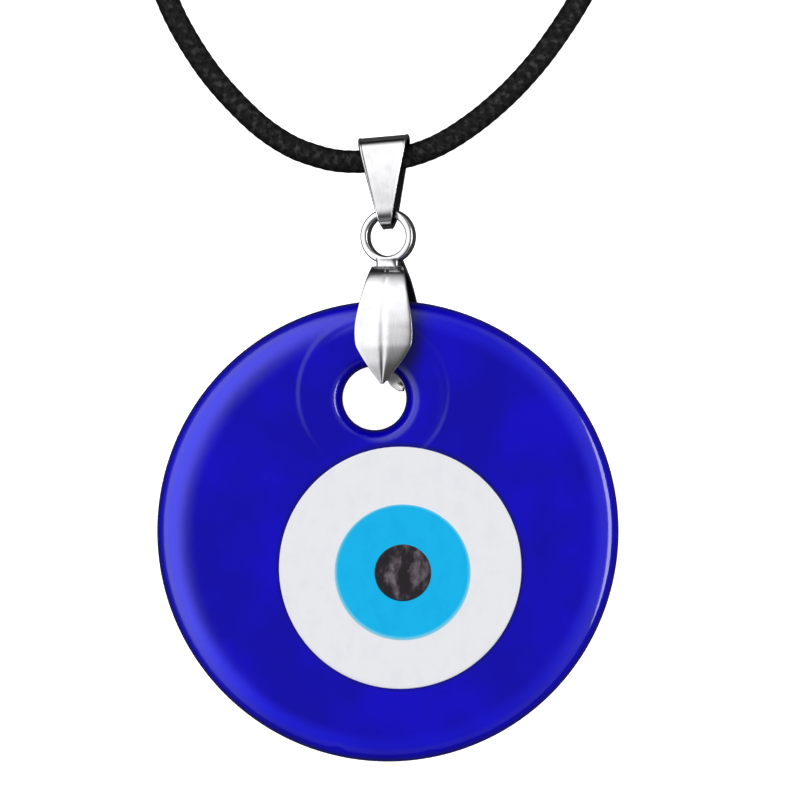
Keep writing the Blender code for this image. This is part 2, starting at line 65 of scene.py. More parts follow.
# the glass, in the flat drawing that leans with the disc
LEAN = math.radians(1.07)
PEG_AXIS = (0.02, 6.0)
PIVOT_HEIGHT = 0.612
DISC_CENTRE = np.array((0.0, -7.1))
DISC_RADIUS = 20.0
HOLE_CENTRE = np.array((-1.16, 4.43))
HOLE_RADIUS = 2.75
FACE_HEIGHT = 4.0
CRATER_DEPTH, CRATER_RADIUS = 0.08, 4.9
LIP_HEIGHT, LIP_FROM_HOLE, LIP_WIDTH = 0.03, 3.5, 0.45
SHELF_DEPTH = 0.4
WHITE_CENTRE, WHITE_RADIUS = (1.07, -10.16), 10.5
EYE_LAYERS = (
    # setting, centre, radius; then its lens: radius, top over the face, dome, edge drop and underside;
    # then its glass: colour and width of the fused edge, share and colour of the mottling, whose pale streaks
    # on the pupil are painted highlights
    ("white", WHITE_CENTRE, WHITE_RADIUS, (10.45, 0.10, 0.03, 0.09, 3.4),
     ((0.88, 0.90, 0.95), 0.35, 0.12, (0.66, 0.69, 0.78))),
    ("iris", (1.28, -10.54), 5.9, (5.86, 0.17, 0.03, 0.05, 3.7),
     ((0.25, 0.72, 0.92), 0.35, 0.3, (0.0, 0.40, 0.85))),
    ("pupil", (1.30, -10.58), 2.5, (2.46, 0.23, 0.04, 0.05, 3.8),
     ((0.012, 0.03, 0.06), 0.25, 0.9, (0.2, 0.165, 0.2))),
)
ARC_CENTRE, ARC_RADIUS = (-1.0, 4.9), 6.5
SEEDS = (
    # x, y, radius and height of the small seeds and dents in the glass's face
    (-10.8, -2.26, 0.4, -0.025), (12.1, -1.65, 0.4, -0.03),
    (-4.4, -26.1, 0.5, -0.14), (3.65, -26.4, 0.4, -0.1),
)

# the pinch clip: stations from tip to collar as x, y, height of the edges, half width, yaw, ridge
SHEET = 0.5
CLIP_YAW = math.radians(12)
RING_YAW = math.radians(16)
RING_CENTRE = (0.03, 18.4, 2.6)
RING_INNER, RING_OUTER, RING_DEPTH = 1.67, 2.42, 1.4
FRONT_LEAF = (
    (-0.48, 5.64, 5.15, 0.16, CLIP_YAW, 0.06), (-0.46, 6.3, 5.33, 0.7, CLIP_YAW, 0.12),
    (-0.43, 7.4, 5.6, 1.55, CLIP_YAW, 0.2), (-0.41, 8.65, 5.8, 2.32, CLIP_YAW, 0.24),
    (-0.41, 9.3, 5.84, 2.5, CLIP_YAW, 0.25), (-0.41, 10.2, 5.84, 2.54, CLIP_YAW, 0.25),
    (-0.4, 11.2, 5.8, 2.46, CLIP_YAW, 0.24), (-0.35, 12.6, 5.55, 2.2, CLIP_YAW, 0.22),
    (-0.26, 14.0, 4.95, 1.9, CLIP_YAW, 0.18), (-0.14, 15.1, 4.29, 1.64, CLIP_YAW, 0.14),
    (-0.06, 15.8, 3.6, 1.4, CLIP_YAW, 0.1),
)
BACK_LEAF = (
    (1.12, 5.0, 0.5, 0.18, CLIP_YAW * 1.3, 0.0), (0.88, 5.4, 0.5, 0.56, CLIP_YAW, 0.0),
    (0.86, 5.9, 0.5, 0.9, CLIP_YAW / 3, 0.0), (0.95, 6.5, 0.51, 1.25, 0, 0.0),
    (1.08, 7.4, 0.51, 1.75, 0, 0.0), (1.02, 8.4, 0.51, 2.28, 0, 0.0), (0.98, 9.0, 0.51, 2.40, 0, 0.0),
    (0.85, 11.0, 0.51, 2.18, 0, 0.0), (0.66, 12.6, 0.53, 1.92, 0, 0.0),
    (0.48, 14.0, 0.85, 1.68, CLIP_YAW / 2, 0.0),
    (0.32, 15.1, 1.45, 1.42, CLIP_YAW, 0.0), (0.2, 16.0, 2.0, 1.15, CLIP_YAW, 0.0),
    (0.14, 16.5, 2.3, 1.05, CLIP_YAW, 0.0),
)
PEGS = (
    # name, x, y, height it starts and ends at, radius there and there
    ("clip_front_peg", -0.45, 6.3, 3.0, 5.2, 0.3, 0.45), ("clip_back_peg", -0.15, 6.3, 0.3, 2.2, 0.4, 0.3),
)

# the strap's middle line along Y and up, from its back, through the ring and over the cord
STRAP_LINE = (
    (24.6, 0.24), (22.9, 0.24), (21.3, 0.24), (20.3, 0.3), (19.68, 0.72), (19.37, 1.4), (19.28, 2.2),
    (19.36, 3.0), (19.68, 3.72), (20.3, 4.1), (21.3, 4.08), (22.6, 3.99), (24.0, 3.82), (25.4, 3.54),
    (26.25, 3.22), (26.72, 2.7), (26.88, 1.95), (26.75, 1.1), (26.4, 0.46), (25.8, 0.25),
)
# the strap's height along Y and half its width, at the ring and at the fold
STRAP_FOOT, STRAP_FOLD = 19.3, 26.88
STRAP_NARROW, STRAP_WIDE = 0.5, 2.2
STRAP_SHEET = 0.45
STRAP_TURN = math.radians(4.5)
STRAP_YAW = math.radians(9)

# the cord: its route from the left side of the coil, through the bail, to the right side of the coil
CORD_ROUTE = (
    (-17.05, 53.9, 1.5), (-18.9, 50.2, 1.2), (-20.1, 46.3, 1.04), (-20.2, 42.4, 1.03),
    (-19.09, 38.87, 1.03), (-17.3, 35.4, 1.03), (-14.9, 31.95, 1.03),
    (-11.6, 28.5, 1.06), (-8.8, 26.5, 1.2), (-6.4, 25.5, 1.4), (-3.97, 24.97, 1.6),
    (-0.68, 25.0, 1.68), (1.74, 25.4, 1.68), (4.17, 26.27, 1.6), (6.59, 27.7, 1.4),
    (9.0, 29.56, 1.2), (11.44, 31.9, 1.06), (13.86, 34.8, 1.03), (16.55, 38.87, 1.03),
    (18.3, 42.6, 1.03), (18.6, 46.6, 1.1), (17.2, 50.4, 1.5), (14.45, 53.9, 2.4),
)
COIL_CENTRE = (-1.3, 56.0)
# radii of the coil's outer and inner turns, and heights of its lower and upper layer
COIL_COLUMNS = (13.2, 11.1)
COIL_LAYERS = (1.45, 3.52)
# the left end of the cord, measured from the coil's centre, out to its cap; the right end mirrors it
LEFT_END = (
    (-6.6, 5.0, 6.05), (-6.2, 9.5, 6.1), (-6.5, 13.5, 5.7), (-7.1, 17.0, 4.1),
    (-7.8, 20.3, 2.4), (-8.6, 23.2, 1.8), (-9.3, 25.9, 1.78),
)
CORD_PLACES = 32

# the closure: rings and links are rolled one way and the other by ROLL, so that they lie in each other
ROLL = math.radians(45)
TIE_RADIUS = 0.19
CORD_GAP = 0.3
CAP_LENGTH, CAP_BORE_DEPTH = 5.5, 3.0
CAP_PROFILE = (
    # from the closed end, down the outer side, round the mouth and up the bore: distance, radius
    (0.0, 0.3), (0.0, 0.55), (0.06, 0.75), (0.2, 1.02), (0.42, 1.27), (0.7, 1.44), (1.0, 1.52),
    (1.3, 1.55), (1.62, 1.55), (1.7, 1.49), (1.82, 1.49), (1.9, 1.55), (4.7, 1.55), (4.78, 1.49),
    (4.9, 1.49), (4.98, 1.55), (5.36, 1.55), (5.46, 1.5), (5.5, 1.4), (5.5, 1.2), (5.44, 1.12),
    (5.35, 1.1), (2.55, 1.1), (2.5, 0.9), (2.5, 0.3),
)
EYE_RADIUS, EYE_WIRE = 1.15, 0.38
JUMP_RADIUS, JUMP_WIRE = 1.99, 0.31
LINK_LENGTH, LINK_WIDTH, LINK_WIRE = 6.4, 4.6, 0.45
LINK_PITCH = LINK_LENGTH - 4 * LINK_WIRE - 0.3
# how far the chain turns after each link, in degrees
LINK_TURNS = (*(-23,) * 7, -8, 0, 0, 0)
DROP_RADIUS = 1.7

# the stage
SENSOR = 36.0
CAMERA_AIM = (1.05, 4.24, 2.6)
FLOOR_HALF_SIDE = 1.5
FLOOR_DROP = 0.05


# ---------------------------------------------------------------- settings


class NecklaceGlass(PropertyGroup):
    """The glass disc and the three layers of its eye."""

    ground: FloatVectorProperty(
        name="Ground", description="Colour of the disc", subtype="COLOR", size=3, default=(0.004, 0.0, 0.60),
    )
    # painted light: a lighter blue inside the rim, standing in for light through the thinner glass and from
    # the bright left
    painted_rim_light: FloatVectorProperty(
        name="Ground edge", description="Colour where the glass thins at its rim", subtype="COLOR", size=3,
        default=(0.02, 0.02, 0.95),
    )
    white: FloatVectorProperty(
        name="White", description="Colour of the eye's white", subtype="COLOR", size=3,
        default=(0.93, 0.94, 0.98),
    )
    iris: FloatVectorProperty(
        name="Iris", description="Colour of the iris", subtype="COLOR", size=3, default=(0.005, 0.52, 0.95),
    )
    pupil: FloatVectorProperty(
        name="Pupil", description="Colour of the pupil", subtype="COLOR", size=3,
        default=(0.022, 0.018, 0.022),
    )
    wave: FloatProperty(
        name="Wave", description="Depth of the slow waves that the kiln leaves", default=0.006 * MM,
        unit="LENGTH", subtype="DISTANCE", precision=5,
    )


class NecklaceMetal(PropertyGroup):
    """The plated clip, strap, clasp and chain."""

    plate: FloatVectorProperty(
        name="Plate", description="Colour of the plating", subtype="COLOR", size=3,
        default=(0.80, 0.80, 0.82),
    )
    polish: FloatProperty(
        name="Polish", description="Roughness of the polished plating", default=0.13, min=0, max=1,
        subtype="FACTOR",
    )


class NecklaceCord(PropertyGroup):
    """The braided neck cord."""

    diameter: FloatProperty(
        name="Diameter", description="Thickness of the cord", default=2 * MM,
        unit="LENGTH", subtype="DISTANCE", precision=4,
    )
    pitch: FloatProperty(
        name="Braid pitch", description="Distance from one strand to the next along the cord",
        default=0.9 * MM, unit="LENGTH", subtype="DISTANCE", precision=4,
    )
    relief: FloatProperty(
        name="Braid relief", description="How far the strands stand out", default=0.038 * MM,
        unit="LENGTH", subtype="DISTANCE", precision=5,
    )
    colour: FloatVectorProperty(
        name="Colour", description="Colour of the waxed thread", subtype="COLOR", size=3,
        default=(0.045, 0.045, 0.047),
    )


class NecklaceStage(PropertyGroup):
    """The camera, the floor and the lights."""

    lens: FloatProperty(
        name="Lens", description="Focal length", default=200, unit="CAMERA", subtype="DISTANCE_CAMERA",
    )
    side: FloatProperty(
        name="Frame side", description="Side of the square that the camera sees at the pendant's face",
        default=69.28 * MM, unit="LENGTH", subtype="DISTANCE", precision=4,
    )
    dome: FloatProperty(name="Dome", description="Strength of the light tent", default=1.3, min=0)
    fill: FloatProperty(name="Fill", description="Strength of the soft light from above", default=0.72, min=0)
    strip: FloatProperty(name="Strip", description="Brightness of the strip on the right", default=4.0, min=0)
    floor: FloatVectorProperty(
        name="Floor", description="Colour of the floor", subtype="COLOR", size=3, default=(0.95, 0.95, 0.95),
    )


# ---------------------------------------------------------------- materials


class Wire:
    """One socket of a material's tree. Arithmetic on it adds the Math nodes for it."""

    def __init__(self, paint, socket):
        self.paint, self.socket = paint, socket

    def math(self, operation, *others):
        inputs = {i: value for i, value in enumerate((self, *others))}
        return self.paint.node("ShaderNodeMath", {"operation": operation}, inputs)

    def __add__(self, other):
        return self.math("ADD", other)

    def __sub__(self, other):
        return self.math("SUBTRACT", other)

    def __mul__(self, other):
        return self.math("MULTIPLY", other)

    def __truediv__(self, other):
        return self.math("DIVIDE", other)

    def __pow__(self, other):
        return self.math("POWER", other)

    def __neg__(self):
        return self.math("MULTIPLY", -1.0)

    def __rsub__(self, other):
        return -self + other

    def __rtruediv__(self, other):
        return self.math("POWER", -1.0) * other

    __radd__, __rmul__ = __add__, __mul__

    def step(self, low, high):
        """0 below low, 1 above high and smooth between; the other way round if low is above high."""
        if low > high:
            return 1 - self.step(high, low)
        return self.paint.node(
            "ShaderNodeMapRange", {"interpolation_type": "SMOOTHSTEP"},
            {0: self, 1: low, 2: high, 3: 0.0, 4: 1.0},
        )

    def ring(self, middle, width):
        """1 at middle, falling smoothly to 0 a width away on both sides."""
        return (self - middle).math("ABSOLUTE").step(width, 0.0)


class Nodes:
    """The node tree of a material or a world, and the few kinds of node that they share."""

    def __init__(self, owner):
        owner.use_nodes = True
        self.tree = owner.node_tree

    def node(self, kind, settings=None, inputs=None, output=0):
        """Adds one node: its settings first, then the values or links of its sockets."""
        made = self.tree.nodes.new(kind)
        for key, value in (settings or {}).items():
            setattr(made, key, value)
        for key, value in (inputs or {}).items():
            self.feed(made.inputs[key], value)
        return Wire(self, made.outputs[output])

    def feed(self, socket, value):
        if isinstance(value, Wire):
            self.tree.links.new(value.socket, socket)
        elif socket.type == "RGBA" and len(value) == 3:
            socket.default_value = (*value, 1.0)
        else:
            socket.default_value = value


class Paint(Nodes):
    """A material in the making: a Principled shader and the nodes that feed it."""

    def __init__(self, name, **constants):
        self.material = bpy.data.materials.new(name)
        super().__init__(self.material)
        self.shader = self.tree.nodes["Principled BSDF"]
        for socket, value in constants.items():
            self.shader.inputs[socket.replace("_", " ")].default_value = value

    def place(self):
        """Object coordinates in millimetres."""
        metres = self.node("ShaderNodeTexCoord", output="Object")
        return self.node("ShaderNodeVectorMath", {"operation": "SCALE"}, {0: metres, "Scale": 1000.0})

    def across(self, place):
        """How far across the pendant a point lies."""
        return self.node("ShaderNodeSeparateXYZ", None, {0: place}, output="X")

    def attribute(self, name):
        return self.node("ShaderNodeAttribute", {"attribute_name": name}, output="Fac")

    def noise(self, place, scale, detail=3.0, rough=0.5):
        return self.node(
            "ShaderNodeTexNoise", None,
            {"Vector": place, "Scale": scale, "Detail": detail, "Roughness": rough},
        )

    def stretched(self, place, scales):
        return self.node("ShaderNodeVectorMath", {"operation": "MULTIPLY"}, {0: place, 1: scales})

    def away(self, place, centre):
        """Distance in the plane of the face from a centre (x, y)."""
        flat = self.stretched(place, (1.0, 1.0, 0.0))
        ends = {0: flat, 1: (*centre, 0.0)}
        return self.node("ShaderNodeVectorMath", {"operation": "DISTANCE"}, ends, "Value")

    def mix(self, share, start, end):
        return self.node(
            "ShaderNodeMix", {"data_type": "RGBA"}, {"Factor": share, 6: start, 7: end}, output=2,
        )

    def bump(self, height, depth, below=None):
        """A Bump whose height of 1 stands depth millimetres out of the surface."""
        inputs = {"Height": height, "Distance": depth * MM, "Strength": 1.0}
        if below:
            inputs["Normal"] = below
        return self.node("ShaderNodeBump", None, inputs)

    def wear(self, **sockets):
        """Links or sets the shader's own sockets, and gives the finished material."""
        for socket, value in sockets.items():
            self.feed(self.shader.inputs[socket.replace("_", " ")], value)
        return self.material


def ground_glass(look):
    """Cobalt glass: slow clouds in its depth, lighter inside its rim with painted light, most of all on the
    left.

    Painted shade darkens it at the rim itself, round the hole, against the white, and beside the clip's front
    leaf as the clip's painted shadow. Its bump is the kiln's slow waves and one faint arc round the hole,
    which fades out towards the white.
    """
    paint = Paint("cobalt_glass", Roughness=0.05, Coat_Weight=0.3, Coat_Roughness=0.03)
    place = paint.place()
    from_rim = DISC_RADIUS - paint.away(place, tuple(DISC_CENTRE))
    from_white = paint.away(place, WHITE_CENTRE) - WHITE_RADIUS
    from_hole = paint.away(place, tuple(HOLE_CENTRE)) - HOLE_RADIUS
    clip_shade = paint.away(paint.stretched(place, (1.0, 0.3, 1.0)), (1.5, 2.95)).step(2.0, 0.5)
    # painted light: glow lightens a band inside the rim, most of all on the left
    glow = from_rim.ring(1.4, 1.3) * (0.35 + paint.across(place).step(2.0, -18.0) * 0.65)
    deep = tuple(c * 0.72 for c in look.ground)
    colour = paint.mix(paint.noise(place, 0.16, 2.0).step(0.35, 0.7), deep, tuple(look.ground))
    # painted shade: dark tints at the rim, round the hole, against the white and in the clip's shadow beside
    # its front leaf
    for share, tint in (
        (glow, tuple(look.painted_rim_light)), (from_rim.step(0.55, 0.0) * 0.75, (0.004, 0.002, 0.12)),
        (from_white.step(0.42, 0.0) * 0.7, (0.004, 0.003, 0.14)),
        (from_hole.step(0.5, 0.0) * 0.7, (0.004, 0.003, 0.10)), (clip_shade * 0.85, (0.005, 0.002, 0.09)),
    ):
        colour = paint.mix(share, colour, tint)
    waves = paint.bump(paint.noise(place, 0.35, 2.0, 0.45), look.wave / MM * 6)
    arc = (paint.away(place, ARC_CENTRE) - ARC_RADIUS).ring(0.0, 0.5)
    fade = (paint.away(place, (-1.0, 0.6)) - 3.0).step(0.0, 3.0)
    bump = paint.bump(arc * fade, 0.045, waves)
    return paint.wear(Base_Color=colour, Roughness=0.04 + paint.noise(place, 1.5) * 0.05, Normal=bump)


def layer_glass(name, colour, centre, radius, wave, edge_colour, edge_width, mottle_and_sheen, mottle_and_sheen_colour):
    """One layer of the eye: its own colour, faint mottling (painted highlights on the pupil), and an edge
    where it fused into the next.
    """
    paint = Paint(name, Roughness=0.07, Coat_Weight=0.2, Coat_Roughness=0.05)
    place = paint.place()
    spots = paint.noise(paint.stretched(place, (1.2, 0.7, 1.0)), 0.7, 4.0, 0.6)
    # mottling; on the pupil its pale streaks are painted highlights
    tint = paint.mix(spots.step(0.45, 0.7) * mottle_and_sheen, tuple(colour), mottle_and_sheen_colour)
    from_edge = radius - paint.away(place, centre)
    tint = paint.mix(from_edge.step(edge_width, 0.0), tint, edge_colour)
    rough = 0.05 + paint.noise(place, 2.0) * 0.06
    waves = paint.bump(paint.noise(place, 0.4, 2.0), wave / MM * 5)
    return paint.wear(Base_Color=tint, Roughness=rough, Normal=waves)


def plate(name, look, brushed=0.0, tone=1.0, inner=False):
    """Silver plating with faint polishing lines and cloudy wear; with inner, painted shade darkens the sides
    that face in.
    """
    paint = Paint(name, Metallic=1.0)
    place = paint.place()
    clouds = paint.noise(place, 0.8, 3.0, 0.5)
    lines = paint.noise(paint.stretched(place, (9.0, 0.6, 9.0)), 1.0, 3.0, 0.6)
    colour = tuple(c * tone for c in look.plate)
    dull = tuple(c * tone * 0.9 for c in look.plate)
    tint = paint.mix(clouds.step(0.4, 0.75), colour, dull)
    rough = look.polish + clouds.step(0.4, 0.8) * 0.04 + lines * brushed * 0.2
    if inner:
        # painted shade: faces marked inner are darkened and made rougher, as if in the shade between the
        # sheets
        painted_shade_mask = paint.attribute("inner")
        tint = paint.mix(painted_shade_mask, tint, (0.05, 0.05, 0.055))
        rough = rough + painted_shade_mask * 0.25
    return paint.wear(Base_Color=tint, Roughness=rough, Normal=paint.bump(lines, 0.003 + 0.006 * brushed))


def waxed_braid(look):
    """Black waxed thread: painted shade darkens its valleys, and painted light makes the side that lies
    uppermost paler, most of all in flecks of painted highlight.
    """
    paint = Paint("cord_braid", Specular_IOR_Level=0.16)
    place = paint.place()
    relief = paint.attribute("relief").step(0.15, 0.85)
    fibre = paint.noise(place, 3.2, 4.0, 0.65)
    # painted light: top marks the cord's upper side
    top = paint.attribute("top")
    sheen_flecks = paint.noise(place, 1.6, 3.0, 0.6).step(0.47, 0.64) * top
    dark = tuple(c * 0.04 for c in look.colour)
    # painted shade in the valleys, painted light on the upper side and painted highlights in the flecks
    tint = paint.mix(relief * (0.04 + top * 0.16 + sheen_flecks * 0.8), dark, tuple(look.colour))
    rough = 0.5 - sheen_flecks * 0.15 + fibre * 0.1
    return paint.wear(Base_Color=tint, Roughness=rough, Normal=paint.bump(fibre, 0.15))


def tie_paper(name):
    """The black paper-covered wire of a bag tie."""
    paint = Paint(name, Roughness=0.5)
    place = paint.place()
    grain = paint.noise(place, 5.0, 4.0, 0.7)
    tint = paint.mix(grain.step(0.4, 0.8), (0.035, 0.035, 0.04), (0.07, 0.07, 0.075))
    return paint.wear(Base_Color=tint, Roughness=0.42 + grain * 0.2, Normal=paint.bump(grain, 0.03))


# ---------------------------------------------------------------- surfaces


def curve_through(knots, spacing, closed=False):
    """A Catmull-Rom curve through the knots, read again at even distances. Columns past the third ride along.

    Between knots b and c, with a before and d after, a point at share t is half of
    2b + (c - a) t + (2a - 5b + 4c - d) t^2 + (3b - a - 3c + d) t^3.
    """
    k = np.asarray(knots, float)
    if closed:
        p = np.vstack((k[-1:], k, k[:2]))
    else:
        p = np.vstack((2 * k[:1] - k[1:2], k, 2 * k[-1:] - k[-2:-1]))
    t = np.linspace(0, 1, 24, endpoint=False)[None, :, None]
    a, b, c, d = (p[i:len(p) - 3 + i, None] for i in range(4))
    dense = 0.5 * (2 * b + (c - a) * t + (2 * a - 5 * b + 4 * c - d) * t**2 + (3 * b - a - 3 * c + d) * t**3)
    dense = np.vstack((dense.reshape(-1, k.shape[1]), p[-2]))
    run = np.concatenate(([0.0], np.cumsum(np.linalg.norm(np.diff(dense[:, :3], axis=0), axis=1))))
    at = np.linspace(0, run[-1], max(4, round(run[-1] / spacing)) + 1)
    even = np.column_stack([np.interp(at, run, column) for column in dense.T])
    return even[:-1] if closed else even


def unit(vectors):
    return vectors / np.linalg.norm(vectors, axis=-1, keepdims=True)


def along(points, closed=False):
    """The direction of travel at each point: the step from the one before to the one after."""
    if closed:
        return unit(np.roll(points, -1, axis=0) - np.roll(points, 1, axis=0))
    return unit(np.gradient(points, axis=0))


def pill(count, square):
    """A closed outline between a circle and a square: each of cos a and sin a raised to the power square."""
    angle = np.arange(count) / count * TURN
    u, v = np.cos(angle), np.sin(angle)
    return np.sign(u) * np.abs(u) ** square, np.sign(v) * np.abs(v) ** square


def ribbon(over, under, square):
    """A closed outline of a flat sheet: u across from 1 to -1 over it and back under it, v its two faces.

    v is (1 - |u|^square)^(1 / square), so that the edges are round and the faces flat.
    """
    angle_over, angle_under = ((np.arange(count) + 0.5) / count * np.pi for count in (over, under))
    u = np.concatenate((np.cos(angle_over), -np.cos(angle_under)))
    v = (1 - np.abs(u) ** square) ** (1 / square)
    v[over:] *= -1
    return u, v


def skin(name, grid, paint, body, stands_for=(), ends="capped", values=None):
    """Puts a grid of points (rows, places round, xyz in mm) into a closed mesh.

    Each four neighbours make a face, and every row closes on itself. The ends are either capped by a fan to
    their own middle or joined to each other. Faces are turned outwards by the sign of the enclosed volume,
    which is a sixth of the sum of a . (b x c) over all triangles. values are numbers kept at each point.
    """
    rows, places = grid.shape[:2]
    points = grid.reshape(-1, 3)
    row = np.arange(rows if ends == "joined" else rows - 1)[:, None]
    place = np.arange(places)[None, :]
    after, beside = (row + 1) % rows, (place + 1) % places
    quads = np.stack(
        (row * places + place, row * places + beside, after * places + beside, after * places + place),
        axis=-1,
    ).reshape(-1, 4)
    faces = quads.tolist()
    corner = points[quads]
    volume = np.einsum("ij,ij->", corner[:, 0], np.cross(corner[:, 1], corner[:, 2]))
    volume += np.einsum("ij,ij->", corner[:, 0], np.cross(corner[:, 2], corner[:, 3]))
    if ends == "capped":
        first, last = len(points), len(points) + 1
        points = np.vstack((points, grid[0].mean(axis=0), grid[-1].mean(axis=0)))
        ring = np.arange(places)
        start = np.column_stack((np.roll(ring, -1), ring, np.full(places, first)))
        stop = np.column_stack((ring, np.roll(ring, -1), np.full(places, last)))
        stop[:, :2] += (rows - 1) * places
        fans = np.vstack((start, stop))
        corner = points[fans]
        volume += np.einsum("ij,ij->", corner[:, 0], np.cross(corner[:, 1], corner[:, 2]))
        faces += fans.tolist()
    if volume < 0:
        faces = [face[::-1] for face in faces]
    mesh = bpy.data.meshes.new(name)
    mesh.from_pydata(points * MM, [], faces)
    for key, numbers in (values or {}).items():
        numbers = np.asarray(numbers, float).ravel()
        full = np.zeros(len(points), np.float32)
        full[:len(numbers)] = numbers
        mesh.attributes.new(key, "FLOAT", "POINT").data.foreach_set("value", full)
    mesh.shade_smooth()
    return finished(name, mesh, paint, body, stands_for)


def finished(name, mesh, paint, body, stands_for=()):
    """The object for a mesh: at the origin, with its material, its body and the node that it stands for."""
    mesh.materials.append(paint)
    piece = bpy.data.objects.new(name, mesh)
    bpy.context.scene.collection.objects.link(piece)
    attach(piece, body)
    if stands_for:
        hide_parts(*stands_for)
    return piece


def tube_grid(path, radius, places, closed=False):
    """Circles round a path that never runs straight up: side = travel x up, and rise = side x travel.

    A point is path + radius (cos a side + sin a rise); radius may change along the path and round it.
    """
    travel = along(path, closed)
    side = unit(np.cross(travel, (0.0, 0.0, 1.0)))
    rise = np.cross(side, travel)
    angle = np.arange(places) / places * TURN
    reach = np.broadcast_to(radius, (len(path), places))[..., None]
    return path[:, None] + reach * (
        np.cos(angle)[None, :, None] * side[:, None] + np.sin(angle)[None, :, None] * rise[:, None]
    )


def wire_loop(name, path, wire, middle, axes, paint, body, stands_for):
    """A round wire along a closed flat path, given in two axes from a middle.

    With n square to both axes and o = travel x n, a point is path + wire (cos b o + sin b n).
    """
    flat = np.asarray(path) @ np.asarray(axes, float) + np.asarray(middle)
    square = unit(np.cross(*np.asarray(axes, float)))
    outward = np.cross(along(flat, closed=True), square)
    angle = (np.arange(24) / 24 * TURN)[None, :, None]
    grid = flat[:, None] + wire * (np.cos(angle) * outward[:, None] + np.sin(angle) * square)
    return skin(name, grid, paint, body, stands_for, ends="joined")


def ring_link(name, middle, heading, roll, half_length, half_width, wire, paint, body, node):
    """A ring or an oval link lying along a heading and rolled about it: half circles joined by straights."""
    angle = (np.arange(96) + 0.5) / 96 * TURN
    straight = (half_length - half_width) * np.sign(np.cos(angle))
    radius = half_width - wire
    path = np.column_stack((straight + radius * np.cos(angle), radius * np.sin(angle)))
    cos_h, sin_h = math.cos(heading), math.sin(heading)
    axes = (
        (cos_h, sin_h, 0.0), (-sin_h * math.cos(roll), cos_h * math.cos(roll), math.sin(roll)),
    )
    return wire_loop(name, path, wire, middle, axes, paint, body, (node,))


def round_ring(name, middle, heading, roll, radius, wire, paint, body, node):
    """A round ring, whose wire runs round its middle at the radius."""
    return ring_link(name, middle, heading, roll, radius + wire, radius + wire, wire, paint, body, node)


def eased(distance, reach, power):
    """How full a rounded edge is: 0 at the edge, 1 from reach inwards, (1 - (1 - s)^power)^(1 / power)."""
    s = np.clip(distance / reach, 0, 1)
    return (1 - (1 - s) ** power) ** (1 / power)


def leaned(x, y, height):
    """From the flat drawing to the leaning disc: turned by the lean about X through the peg axis."""
    away = y - PEG_AXIS[1]
    return np.stack(
        (
            x, PEG_AXIS[1] + away * math.cos(LEAN) - height * math.sin(LEAN),
            PIVOT_HEIGHT + away * math.sin(LEAN) + height * math.cos(LEAN),
        ),
        axis=-1,
    )


def dense_ends(count):
    """count + 1 shares from 0 to 1 that crowd at both ends: (1 - cos(pi s)) / 2."""
    return 0.5 - 0.5 * np.cos(np.linspace(0, np.pi, count + 1))


def glass_disc(paint):
    """The disc as circles that grow from the hole to the rim, over the face and back under it.

    At share u the circle has its centre and radius u of the way from the hole's to the rim's. The face stands
    over the middle plane by half the thickness, times how full the rounded rim and the hole's lip are there.
    A shallow crater with a low lip surrounds the hole, and a shelf under the white layer holds it.
    """
    top, back = dense_ends(130), dense_ends(56)[::-1][1:-1]
    u = np.concatenate((top, back))[:, None]
    upper = (np.arange(len(u)) < len(top))[:, None]
    angle = np.arange(360)[None, :] / 360 * TURN
    centre = HOLE_CENTRE + (DISC_CENTRE - HOLE_CENTRE) * u
    radius = HOLE_RADIUS + (DISC_RADIUS - HOLE_RADIUS) * u
    x = centre[:, :1] + radius * np.cos(angle)
    y = centre[:, 1:] + radius * np.sin(angle)
    from_rim = DISC_RADIUS - np.hypot(x - DISC_CENTRE[0], y - DISC_CENTRE[1])
    from_hole = np.hypot(x - HOLE_CENTRE[0], y - HOLE_CENTRE[1]) - HOLE_RADIUS
    middle = 0.47 * FACE_HEIGHT
    face = (FACE_HEIGHT - middle) * eased(from_rim, 3.8, 2.4) * eased(from_hole, 1.3, 2.3)
    rim_share = np.clip(from_rim / 4.0, 0, 1)
    crater = CRATER_DEPTH * np.exp(-(((from_hole + HOLE_RADIUS) / CRATER_RADIUS) ** 4))
    crater -= LIP_HEIGHT * np.exp(-(((from_hole - LIP_FROM_HOLE) / LIP_WIDTH) ** 2))
    face -= crater * rim_share * eased(from_hole, 1.3, 2.3)
    from_eye = WHITE_RADIUS - np.hypot(x - WHITE_CENTRE[0], y - WHITE_CENTRE[1])
    face -= SHELF_DEPTH * np.clip((from_eye - 0.4) / 0.8, 0, 1)
    for seed_x, seed_y, wide, tall in SEEDS:
        face += tall * np.exp(-((x - seed_x) ** 2 + (y - seed_y) ** 2) / wide**2)
    under = -middle * eased(from_rim, 1.7, 2.1) * eased(from_hole, 0.8, 2.0)
    height = middle + np.where(upper, face, under)
    grid = leaned(x, y, height)
    return skin("disc_glass", grid, paint, "glass", ("glass_disc",), ends="joined")


def lens(name, centre, radius, top, dome, edge, floor, paint, slot, stands_for):
    """A round layer: circles from its middle to its rim over a low dome, and back underneath.

    The face's height is the top plus dome (1 - s^2), where s is the share of the radius, eased down by the
    edge drop at its rim.
    """
    over = 0.01 + 0.99 * np.sin(np.linspace(0, np.pi / 2, 60))
    share = np.concatenate((over, np.linspace(0.98, 0.02, 12)))[:, None]
    upper = (np.arange(len(share)) < len(over))[:, None]
    angle = np.arange(200)[None, :] / 200 * TURN
    x = centre[0] + radius * share * np.cos(angle)
    y = centre[1] + radius * share * np.sin(angle)
    face = top - edge + (edge + dome * (1 - share**2)) * eased((1 - share) * radius, edge * 1.5, 2.0)
    height = np.where(upper, face, floor) + 0 * angle
    return skin(name, leaned(x, y, height), paint, "glass", stands_for)


